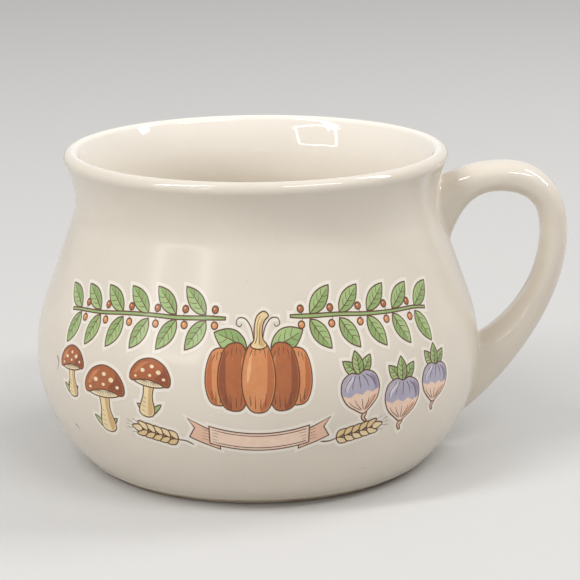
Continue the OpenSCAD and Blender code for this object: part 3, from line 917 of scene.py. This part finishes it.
LEAF_L = 8.6
LEAF_W = 3.9
LEAF_EDGE = [(0, 0), (0.32, 0.16), (0.5, 0.42), (0.42, 0.68), (0.17, 0.9), (0, 1)]
LEAF_DARK_TONE = -0.6
LEAF_LIGHT_TONE = 0.25
LEAF_BEND = 0.05
MIDRIB_W = (LINE_W, 0.14)
SPINE_STEPS = 8
VEIN_STARTS = (0.22, 0.42, 0.62)
VEIN_REACH = 0.34


def draw_leaf(x, y, turn, length, width, level):
    """Pointed leaf from its foot at (x, y): a dark and a light half, a midrib and side veins."""
    place = (x, y, turn)
    right = curve([(out * width, up * length) for out, up in LEAF_EDGE], steps=4)
    left = [Vector((-p.x, p.y)) for p in right]
    spine = [Vector((LEAF_BEND * width * math.sin(math.pi * t / SPINE_STEPS), length * t / SPINE_STEPS))
             for t in range(SPINE_STEPS + 1)]
    key(shift(right + left[-2:0:-1], *place), level)
    lay("green", shift(right + spine[-2:0:-1], *place), level, LEAF_DARK_TONE)
    lay("green", shift(left + spine[-2:0:-1], *place), level, LEAF_LIGHT_TONE)
    ink(shift(spine[:-1], *place), level, *MIDRIB_W)
    for side in (-1, 1):
        for start in VEIN_STARTS:
            reach = side * VEIN_REACH * width * (1.15 - abs(start - VEIN_STARTS[1]))
            vein = [(0, start * length), (0.6 * reach, (start + 0.07) * length), (reach, (start + 0.17) * length)]
            ink(sweep_line(vein, *place), level, VEIN_W)


GARLANDS = ([-13, -21, -29, -37, -45, -53], [13, 21, 29, 37, 45])
GARLAND_END = 53
STEM_PAST = 4.5
STEM_W = (0.7, 0.35)
STEM_WAVE = 0.25
STEM_MIDDLE = 1.72
STEM_FALL = 0.35
STEM_TONE = -0.3
PAIR_TILT = 50
GARLAND_LEAF = 1.02
LEAF_STALK = 0.13 * LEAF_L
BERRY_R = 0.74
BERRY_BACK = 1.9
BERRY_OFF = 1.95
BERRY_STALK_W = (0.3, 0.2)
GLINT_R = 0.2


def stem_height(degrees):
    return LEAF_L * (STEM_MIDDLE - STEM_FALL * (degrees / GARLAND_END) ** 2)


def draw_garland(turns):
    """Curved stem with a pair of leaves at each of the turns and a pair of berries before each."""
    outward = 1 if turns[0] > 0 else -1
    ends = [turns[0] - outward * STEM_PAST] + turns + [turns[-1] + outward * STEM_PAST]
    stem = curve([(turn_to_x(d), stem_height(d) + STEM_WAVE * math.sin(d)) for d in ends], steps=6)
    paint("green", stroke(stem, *STEM_W), 0, STEM_TONE)
    for degrees in turns:
        for up in (-1, 1):
            tilt = outward * (90 - up * PAIR_TILT) + degrees / 3
            x = turn_to_x(degrees) + LEAF_STALK * math.sin(math.radians(tilt))
            y = stem_height(degrees) + LEAF_STALK * math.cos(math.radians(tilt))
            draw_leaf(x, y, tilt, LEAF_L * GARLAND_LEAF, LEAF_W * GARLAND_LEAF, 1)
    for degrees in turns:
        x, y = turn_to_x(degrees - outward * BERRY_BACK), stem_height(degrees - outward * BERRY_BACK)
        for up, colour in ((-1, "orange"), (1, "rust")):
            middle = y + up * BERRY_OFF
            ink([Vector((x + outward * 0.5, y + up * 0.4)), Vector((x, middle - up * 0.5))], 0, *BERRY_STALK_W)
            paint(colour, oval(x, middle, BERRY_R, BERRY_R, count=14), 2, 0.2)
            lay("ochre", oval(x - 0.2, middle + 0.22, GLINT_R, GLINT_R, count=8), 2, 0.8, INK_RISE)


PUMPKIN_W = 27
PUMPKIN_H = 18
PUMPKIN_LEAVES = [(-3.2, 7.4, -68, 9.5, 5.4, 0), (3.6, 7.5, 66, 9.5, 5.4, 0)]
TENDRIL_W = (0.36, 0.2)
TENDRIL_FILM_W = (0.4, 0.12)
TENDRIL_FILM_ENDS = 4
TENDRIL = [(1.3, 9.6), (1.9, 12.3), (3.5, 14.5), (5.5, 14.7), (6.1, 13.3), (5.1, 12.6), (4.5, 13.3)]
RIBS = [(0.385, 0.125, 0.40, 1, "orange"), (0.235, 0.15, 0.475, 2, "rust"), (0, 0.15, 0.5, 3, "orange")]
RIB_LEAN = 0.12
RIB_SHADE = [(0.62, 0.82), (0.95, 0.3), (0.95, -0.35), (0.56, -0.86), (0.1, -0.96), (0.48, -0.5), (0.58, 0.1)]
RIB_LIGHT = [(-0.45, 0.7), (-0.72, 0.3), (-0.72, -0.15), (-0.5, 0.2)]
HATCHES = (-0.5, -0.2, 0.12, 0.42)
PUMPKIN_STALK = [
    (-1.9, 7.9), (-1.0, 9.4), (-0.9, 12.2), (-0.2, 15.0), (1.6, 16.2), (2.8, 15.3), (1.7, 14.2), (1.0, 12.2),
    (1.1, 9.6), (2.2, 8.0), (0.2, 7.3)]
PUMPKIN_STALK_SHADE = [(0.5, 8.0), (0.45, 11.8), (1.0, 14.2), (1.5, 14.5), (0.8, 12.2), (0.9, 9.6), (1.8, 8.2)]
PUMPKIN_STALK_LINES = [
    ([(-0.9, 8.4), (-0.3, 10.2), (-0.2, 13.2), (0.7, 15.3)], FINE_W),
    ([(0.3, 8.2), (0.3, 11.0), (0.6, 13.6)], FINER_W)]


def draw_rib(x, w, h, side, lean, colour, level):
    """One rib at x, half as wide as w and as high as h, shaded on its side and hatched at both ends."""
    def on_rib(points, mirror=1):
        return [Vector((x + mirror * w * p[0], h * p[1])) for p in points]
    edge = [(-lean, 1), (0.62, 0.86), (1, 0.3), (1, -0.35), (0.6, -0.88),
            (-lean, -1), (-0.6, -0.88), (-1, -0.35), (-1, 0.3), (-0.62, 0.86)]
    paint(colour, on_rib(blob(edge, 0, 0)), level, 0.15)
    touch(colour, on_rib(blob(RIB_SHADE, 0, 0), side), level, -0.9)
    touch(colour, on_rib(blob(RIB_LIGHT, 0, 0), side), level, 1)
    for n, share in enumerate(HATCHES):
        drop = 0.93 - 0.45 * share * share
        foot = [(share, -drop), (1.08 * share, 0.2 - drop), (1.15 * share, 0.32 + 0.08 * (n % 2) - drop)]
        ink(on_rib(curve(foot, steps=3)), level, HATCH_W)
        top = [(0.8 * share, 0.97 * drop), (1.05 * share, drop - 0.16), (1.12 * share, drop - 0.24 - 0.06 * (n % 2))]
        ink(on_rib(curve(top, steps=3)), level, FINE_W)


def draw_pumpkin():
    """Ribbed pumpkin with a bent stalk, a leaf at each side of it and two tendrils."""
    for leaf in PUMPKIN_LEAVES:
        draw_leaf(*leaf)
    for side in (-1, 1):
        tendril = [(side * x, y) for x, y in TENDRIL]
        lay("cover_coat", grow(stroke(curve(tendril[:TENDRIL_FILM_ENDS]), *TENDRIL_FILM_W), HALO_W), 0, rise=0)
        ink(curve(tendril), 0, *TENDRIL_W)
    for out, half, rise, level, colour in RIBS:
        for side in ((-1, 1) if out else (1,)):
            lean = side * RIB_LEAN if out else 0
            draw_rib(side * out * PUMPKIN_W, half * PUMPKIN_W, rise * PUMPKIN_H, side, lean, colour, level)
    paint("ochre", blob(PUMPKIN_STALK, 0, 0), 4)
    touch("ochre", blob(PUMPKIN_STALK_SHADE, 0, 0, steps=3), 4, -1)
    for line, width in PUMPKIN_STALK_LINES:
        ink(curve(line, steps=4), 4, width)


CAP_W = 14
MUSHROOMS = ((-27, -0.15, 0.85, 5), (-40.5, -0.5, 1, -4), (-53, -0.2, 0.75, -7))
GRASS = ((-52, 0.36, 0.4), (-20, 0.3, 0.4), (48, 0.38, -0.2), (18, 0.3, -0.2))
STALK = [
    (-0.11, 0.02), (-0.1, -0.35), (-0.17, -0.68), (-0.13, -0.8), (0.02, -0.84), (0.15, -0.79), (0.18, -0.66),
    (0.1, -0.35), (0.11, 0.02)]
STALK_SHADE = [
    (0.01, -0.1), (0.02, -0.4), (0.05, -0.79), (0.13, -0.77), (0.16, -0.66), (0.085, -0.35), (0.09, -0.1)]
STALK_FOOT = 0.8
GILLS = oval(0, 0, 0.44, 0.125)
GILLS_DROP = 0.015
GILL_TIP_W = 0.12
CAP = [
    (-0.5, -0.02), (-0.47, 0.16), (-0.3, 0.36), (0, 0.455), (0.3, 0.36), (0.47, 0.16), (0.5, -0.02),
    (0.42, -0.075), (0.2, -0.01), (0, 0.01), (-0.2, -0.01), (-0.42, -0.075)]
CAP_SHADE = [(0.12, 0.03), (0.3, 0.22), (0.3, 0.34), (0.45, 0.16), (0.48, -0.01), (0.41, -0.055)]
CAP_LIGHT = [(-0.42, 0.1), (-0.3, 0.29), (-0.08, 0.395), (-0.2, 0.28), (-0.34, 0.1)]
CAP_TOUCH_RISE = 2.4
CAP_SPOTS = [
    (-0.2, 0.18, 0.055), (0.02, 0.3, 0.05), (0.2, 0.2, 0.06), (0, 0.1, 0.04), (0.35, 0.07, 0.04),
    (-0.36, 0.02, 0.035)]
SPOT_FLATNESS = 0.78


def draw_mushroom(turn, height_share, size, lean):
    """Spotted cap over a fan of gills, on a shaded stalk with a tuft of grass at its foot."""
    x, y, w = turn_to_x(turn), height_share * CAP_W, size * CAP_W
    place = (x, y, lean, w)
    for tilt, length, tone in GRASS:
        blade = [(0, 0), (0.05, 0.16), (0, length), (-0.05, 0.16)]
        paint("green", blob(blade, x, y - STALK_FOOT * w, tilt, w), 0, tone)
    paint("ochre", blob(STALK, *place), 1, 0.35)
    touch("ochre", blob(STALK_SHADE, *place, steps=3), 1, -0.9)
    for n in range(4):
        ink(shift([(0.01 * n - 0.13, 0.1 * n - 0.7), (-0.04, 0.1 * n - 0.73)], *place), 1, FINER_W)
    paint("ochre", shift(GILLS, x, y - GILLS_DROP * w, lean, w), 2, 0.8)
    for n in range(-6, 7):
        ink(shift([(0.02 * n, -0.03), (0.064 * n, 0.0026 * n * n - 0.125)], *place), 2, FINER_W, GILL_TIP_W)
    paint("rust", blob(CAP, *place), 3)
    lay("rust", blob(CAP_SHADE, *place, steps=3), 3, -1, CAP_TOUCH_RISE)
    lay("rust", blob(CAP_LIGHT, *place, steps=3), 3, 1, CAP_TOUCH_RISE)
    for out, up, radius in CAP_SPOTS:
        spot = oval(out, up, radius, SPOT_FLATNESS * radius, count=14)
        lay("ochre", shift(spot, *place), 3, 0.9, INK_RISE)


TURNIP_W = 11.5
TURNIPS = ((25, -0.45, 0.95, -6), (37, -0.8, 1, 4), (48.5, -0.62, 0.9, 8))
TURNIP_LEAVES = ((-0.3, -42, 0.52, 0.25, 0), (0.3, 40, 0.52, 0.25, 0), (0, -2, 0.56, 0.26, 1))
CROWN_UP = 0.36
TAIL_W = (0.11, 0.02)
TAIL = [(0, -0.5), (0.03, -0.6), (-0.02, -0.7), (0.04, -0.8)]
TURNIP = [
    (0, 0.37), (0.2, 0.43), (0.43, 0.3), (0.5, 0.02), (0.4, -0.27), (0.18, -0.47), (0, -0.58), (-0.18, -0.47),
    (-0.4, -0.27), (-0.5, 0.02), (-0.43, 0.3), (-0.2, 0.43)]
SHOULDER_LOW = -0.1
SHOULDER_EDGE = [(0.3, -0.12), (0.16, -0.04), (0.02, -0.13), (-0.14, -0.05), (-0.3, -0.13)]
SHOULDER_SHRINK = 0.03
SHOULDER_LIGHT = [(-0.4, 0.2), (-0.2, 0.36), (-0.12, 0.3), (-0.3, 0.14), (-0.36, 0)]
SHOULDER_SHADE = [(0.3, 0.33), (0.45, 0.22), (0.47, 0), (0.4, -0.07), (0.36, 0.1)]
TURNIP_SHADE = [(0.42, -0.2), (0.2, -0.42), (0.03, -0.54), (0.1, -0.38), (0.3, -0.2)]
CONTOURS = (-0.34, -0.18, 0, 0.18, 0.34)
CONTOUR_LEVEL = 2.75


def draw_turnip(turn, height_share, size, lean):
    """Turnip with three veined leaves, a lilac shoulder over a pink lower half, contour lines and a root."""
    x, y, w = turn_to_x(turn), height_share * TURNIP_W, size * TURNIP_W
    place = (x, y, lean, w)
    for aside, tilt, length, width, level in TURNIP_LEAVES:
        draw_leaf(x + aside, y + CROWN_UP * w, lean + tilt, length * w, width * w, level)
    paint("pink", shift(stroke(curve(TAIL, steps=4), *TAIL_W), *place), 1, -0.6)
    outline = curve(TURNIP, closed=True, steps=4)
    paint("pink", shift(outline, *place), 2, 0.2)
    low = [k for k, p in enumerate(outline) if p.y <= SHOULDER_LOW]
    shoulder = outline[:low[0]] + [Vector(p) for p in SHOULDER_EDGE] + outline[low[-1] + 1:]
    touch("lilac", grow(shift(shoulder, *place), -SHOULDER_SHRINK), 2, 0)
    lay("lilac", blob(SHOULDER_LIGHT, *place, steps=3), 2, 1, INK_RISE)
    lay("lilac", blob(SHOULDER_SHADE, *place, steps=3), 2, -1, INK_RISE)
    touch("pink", blob(TURNIP_SHADE, *place, steps=3), 2, -1)
    for share in CONTOURS:
        fall = [(0.55 * share, 0.36), (1.05 * share, 0.2), (1.2 * share, 0.04)]
        ink(sweep_line(fall, *place), CONTOUR_LEVEL, HATCH_W)
        rise = [(0.2 * share, -0.5), (0.8 * share, -0.34), (1.05 * share, -0.22)]
        ink(sweep_line(rise, *place), CONTOUR_LEVEL, FINE_W)


EAR_L = 13
EARS = ((-25, -80), (24, 80))
EAR_DROP = 1.29
EAR_STALK = [(-0.3, -0.78 * EAR_L), (0.25, -0.6 * EAR_L), (0, -0.36 * EAR_L), (0, 0.4 * EAR_L)]
GRAIN = [(0.02 / EAR_L, 0), (0.09, 0.06), (0.1, 0.14), (0.06, 0.24), (0, 0.13)]
GRAIN_LEAN = 16
GRAIN_TONE = 0.3
EAR_FILM_W = (0.5, 0.4)
EAR_STALK_W = (0.42, 0.26)
EAR_TIP = [(0, 0.38), (0.065, 0.46), (0, 0.6), (-0.065, 0.46)]


def draw_ear(turn, lean):
    """Ear of wheat: paired grains up a stalk, a grain at the tip, and awns."""
    place = (turn_to_x(turn), -EAR_DROP * EAR_L, lean)
    stalk = shift(curve(EAR_STALK, steps=5), *place)
    lay("cover_coat", grow(stroke(stalk, *EAR_FILM_W), HALO_W), 0, rise=0)
    ink(stalk, 0, *EAR_STALK_W)
    for n in range(5):
        foot = (0.17 * n - 0.42) * EAR_L
        for side in (-1, 1):
            grain = blob([(side * x, y) for x, y in GRAIN], side * 0.15, foot, side * GRAIN_LEAN, EAR_L)
            paint("ochre", shift(grain, *place), n + 1, GRAIN_TONE * side)
            awn = [(side * 1.3, foot + 0.2 * EAR_L), (side * 2.0, foot + 0.36 * EAR_L)]
            ink(shift(awn, *place), 0, FINER_W)
    paint("ochre", blob(EAR_TIP, *place, EAR_L), 6, 0.5)
    for aside in (-0.5, 0, 0.5):
        ink(shift([(aside, 0.57 * EAR_L), (2.4 * aside, 0.76 * EAR_L)], *place), 0, FINER_W)


RIBBON_HALF_W = 0.42 * 5.4
RIBBON_HALF_L = 13
RIBBON_DROP = 0.95 * PUMPKIN_H + 0.35
RIBBON_SAG = 0.0105
STITCH_IN = 0.955
TAIL_EDGE = [
    (10.6, 10.6, -1, -1.0), (15.0, 14, -1, -0.3), (18.4, 16, -1, 0.5), (16.9, 16, 0, 0.9), (18.8, 16.5, 1, 0.9),
    (14.6, 14, 1, -0.5), (10.8, 10.6, 1, -1.2)]


def on_ribbon(x, edge=0, above=0):
    """Height on the hanging ribbon at x: edge runs from -1, its lower edge, to 1, its upper one."""
    return RIBBON_SAG * x * x - RIBBON_DROP + edge * RIBBON_HALF_W + above


def draw_ribbon():
    """Blank ribbon in a shallow hanging curve, with folded swallow tails."""
    for side in (-1, 1):
        paint("pink", [Vector((side * x, on_ribbon(*height))) for x, *height in TAIL_EDGE], 0, -0.5)
        for n in range(4):
            start = 13.4 - 0.1 * n
            ink([Vector((side * start, on_ribbon(13, -1, 0.7 + 0.85 * n))),
                 Vector((side * (start + 1.7), on_ribbon(14, -1, 0.9 + 0.85 * n)))], 0, FINE_W)
    xs = range(-RIBBON_HALF_L, RIBBON_HALF_L + 1)
    band = [Vector((x, on_ribbon(x, -1))) for x in xs] + [Vector((x, on_ribbon(x, 1))) for x in reversed(xs)]
    paint("pink", band, 1, 0.5)
    for edge in (-1, 1):
        stitch = [Vector((STITCH_IN * x, on_ribbon(STITCH_IN * x, edge, -0.55 * edge))) for x in xs]
        ink(stitch, 1, FINE_W, FINE_W)
    for side in (-1, 1):
        for n in range(3):
            ink([Vector((side * 12.4, on_ribbon(12.4, 0, 0.9 - 0.9 * n))),
                 Vector((side * (10.6 + 0.3 * n), on_ribbon(11, 0, 0.85 - 0.9 * n)))], 1, FINE_W)


for turns in GARLANDS:
    draw_garland(turns)
draw_pumpkin()
for mushroom in MUSHROOMS:
    draw_mushroom(*mushroom)
for turnip in TURNIPS:
    draw_turnip(*turnip)
for ear in EARS:
    draw_ear(*ear)
draw_ribbon()


def fired_print_group():
    """Colour of a fired print: its own shade or a darker or lighter tone, uneven ink and tiny misses."""
    tree, given, made = start_group(
        "fired_print", {"Ink": "Color", "Dark": "Color", "Light": "Color", "Under": "Color"}, {"Colour": "Color"})
    tone = add(tree, "Attribute")
    tone.attribute_name = "tone"
    shade = blend(tree, remap(tree, tone.outputs["Fac"], 0, -1), given["Ink"], given["Dark"])
    shade = blend(tree, remap(tree, tone.outputs["Fac"], 0, 1), shade, given["Light"])
    shade = blend(tree, remap(tree, mottle(tree, *INK_CLOUDS), *INK_CLOUDS_SPREAD), shade, given["Dark"])
    shade = blend(tree, remap(tree, mottle(tree, *INK_MISSES), *INK_MISSES_SPREAD), shade, given["Under"])
    feed(tree, shade, made["Colour"])
    return tree


fired_print = fired_print_group()


def fire_film(name, film, slot, material_name, shades, *nodes):
    """The film as a piece in fired colour: the glaze's own gloss and ripples, with the print's shades."""
    bmesh.ops.recalc_face_normals(film, faces=film.faces)
    piece = finish_piece(name, film)
    material = start_glaze(material_name, CREAM, CREAM_POOLED, BOWL_RIPPLE, PRINT_SATIN)
    tree = material.node_tree
    colour = add(tree, "Group")
    colour.node_tree = fired_print
    for socket, shade in zip(("Ink", "Dark", "Light"), shades):
        colour.inputs[socket].default_value = (*shade, 1)
    colour.inputs["Under"].default_value = CREAM
    feed(tree, colour.outputs["Colour"], tree.nodes["Principled BSDF"].inputs["Base Color"])
    piece.data.materials.append(material)
    fix_to_bowl(piece, slot, *nodes)


for colour, film in films.items():
    slot = colour if colour == "cover_coat" else "print_" + colour
    fire_film("print_" + colour, film, slot, "fired_" + colour, INKS[colour], "transfer_" + colour)

# Hairlines in the glaze
# Two short dark hairlines on the left of the belly and a pale rub near the foot, from years of use.
# Each is a thin line in the glaze's face, so it is laid on as a film of its own.

HAIRLINES = [
    ([(-66.9, -2.5), (-66.2, -3.3), (-65.7, -4.0), (-65.85, -5.0), (-66.5, -6.3)], 0.6, 0),
    ([(-60.3, -20.6), (-59.5, -21.1), (-58.8, -21.9)], 0.5, 0),
    ([(31.2, -29.1), (32.0, -29.35), (33.0, -29.3)], 0.3, 1)]
HAIRLINE_TIP = 0.12
HAIRLINE_SHADES = ((0.20, 0.165, 0.14), (0.13, 0.105, 0.09), (0.62, 0.56, 0.48))

hairlines = start_film()
for points, width, tone in HAIRLINES:
    print_plate(hairlines, stroke(curve(points, steps=4), width, HAIRLINE_TIP), 0, tone)
fire_film("glaze_hairlines", hairlines, "outside_glaze", "fired_hairline", HAIRLINE_SHADES)
